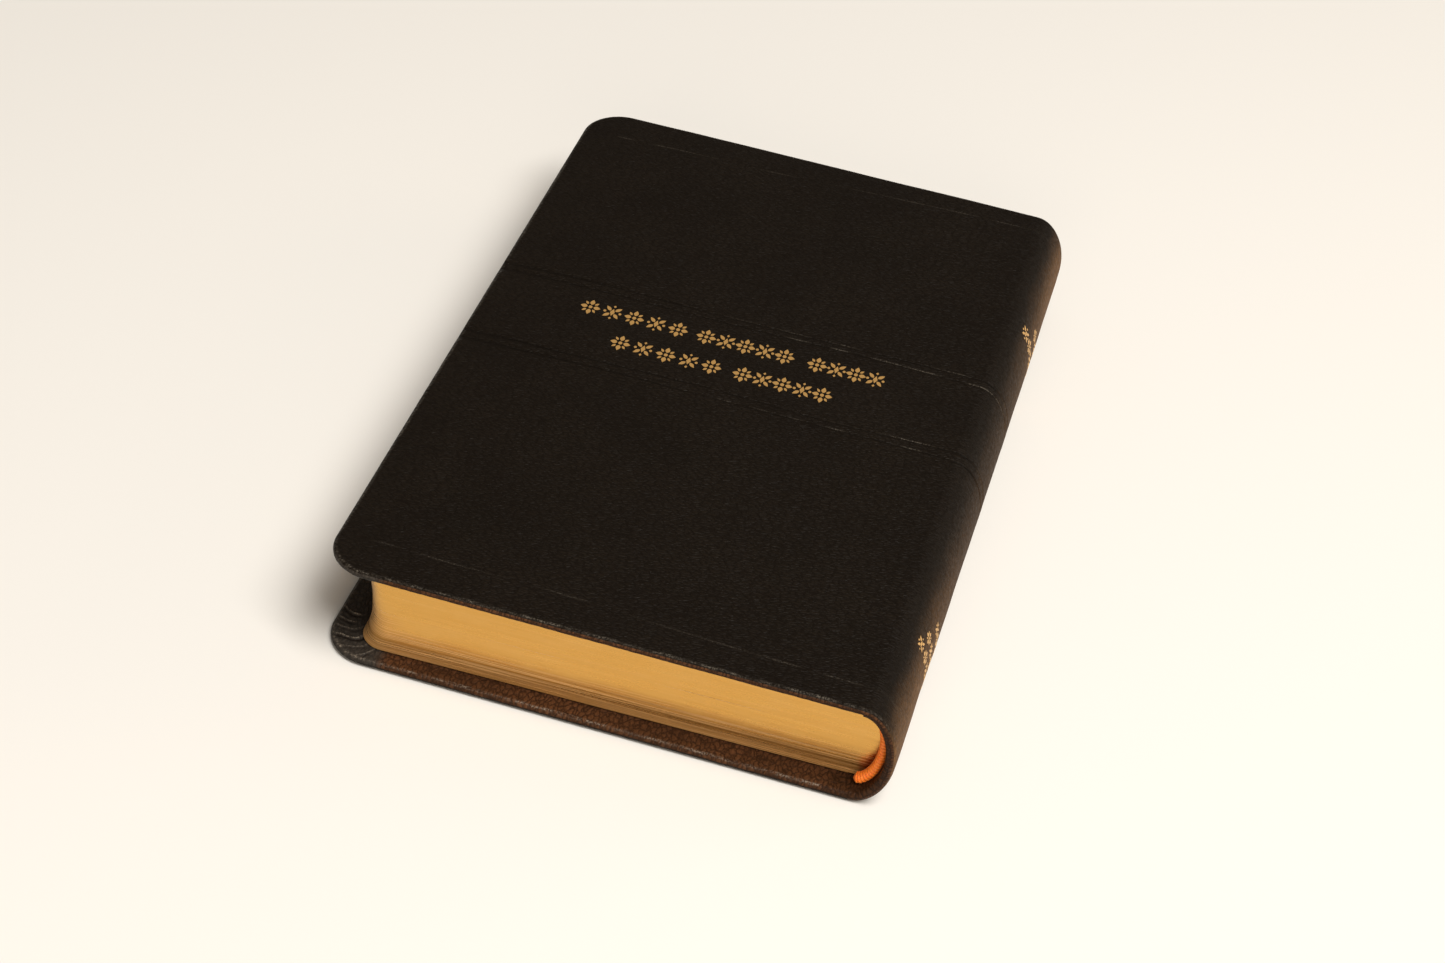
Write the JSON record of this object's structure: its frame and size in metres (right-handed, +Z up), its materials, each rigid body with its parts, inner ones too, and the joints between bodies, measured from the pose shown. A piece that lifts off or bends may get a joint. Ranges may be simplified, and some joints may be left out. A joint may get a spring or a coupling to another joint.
{
  "type": "bible",
  "caption": "Closed leather-bound bible with rounded fore-edge corners, gilt page edges, a rounded spine and covers and text block that open.",
  "frame": {"origin": "centre of the footprint, on the surface that the back cover lies on", "axes": "+X to the spine, +Y to the head of the book, +Z up from the back cover to the front cover"},
  "size_m": [0.125, 0.19, 0.0265],
  "materials": {
    "cover_leather": "fine pebbled grain, satin",
    "board": "matte",
    "endpaper": "matte",
    "pages": "gilt edges",
    "thread": "matte",
    "tape": "matte",
    "mull": "matte",
    "kraft": "matte",
    "silk": "silk sheen"
  },
  "bodies": {
    "back_cover": {"back_cover_leather": "cover_leather", "back_cover_board": "board", "back_cover_infill": "board", "back_cover_pastedown": "endpaper"},
    "back_leaf": {"back_endpaper": "endpaper"},
    "lower_block": {"section_01": "pages", "section_02": "pages", "section_03": "pages", "section_04": "pages", "section_05": "pages", "section_06": "pages", "section_07": "pages", "section_08": "pages", "section_09": "pages", "section_10": "pages", "section_11": "pages", "section_12": "pages", "sewing_thread_lower": "thread", "sewing_tape_1": "tape", "sewing_tape_2": "tape", "sewing_tape_3": "tape", "mull_cloth": "mull", "spine_hollow": "kraft", "spine_leather": "cover_leather", "head_band_silk": "silk", "head_band_core": "thread", "tail_band_silk": "silk", "tail_band_core": "thread"},
    "upper_block": {"section_13": "pages", "section_14": "pages", "section_15": "pages", "section_16": "pages", "section_17": "pages", "section_18": "pages", "section_19": "pages", "section_20": "pages", "section_21": "pages", "section_22": "pages", "section_23": "pages", "section_24": "pages", "sewing_thread_upper": "thread"},
    "front_leaf": {"front_endpaper": "endpaper"},
    "front_cover": {"front_cover_leather": "cover_leather", "front_cover_board": "board", "front_cover_infill": "board", "front_cover_pastedown": "endpaper"}
  },
  "joints": [
    {"name": "back_cover_hinge", "type": "hinge", "parent": "back_cover", "child": "lower_block", "pos_m": [0.0575, 0, 0.0055], "axis": [0, -1, 0], "range_deg": [-90, 0]},
    {"name": "middle_opening", "type": "hinge", "parent": "lower_block", "child": "upper_block", "pos_m": [0.0605, 0, 0.01325], "axis": [0, 1, 0], "range_deg": [0, 179.9], "deforming": ["sewing_tape_1", "sewing_tape_2", "sewing_tape_3", "mull_cloth", "spine_hollow", "spine_leather", "head_band_silk", "head_band_core", "tail_band_silk", "tail_band_core"]},
    {"name": "front_cover_hinge", "type": "hinge", "parent": "upper_block", "child": "front_cover", "pos_m": [0.0575, 0, 0.02665], "axis": [0, 1, 0], "range_deg": [0, 179.9]},
    {"name": "back_leaf_fold", "type": "hinge", "parent": "back_cover", "child": "back_leaf", "pos_m": [0.054, 0, 0.00232], "axis": [0, -1, 0], "range_deg": [-4.5, 0]},
    {"name": "front_leaf_fold", "type": "hinge", "parent": "upper_block", "child": "front_leaf", "pos_m": [0.054, 0, 0.02417], "axis": [0, 1, 0], "range_deg": [0, 9]}
  ],
  "couplings": [
    {"joint": "back_leaf_fold", "follows": "back_cover_hinge", "ratio": 0.05},
    {"joint": "front_leaf_fold", "follows": "front_cover_hinge", "ratio": 0.05}
  ]
}
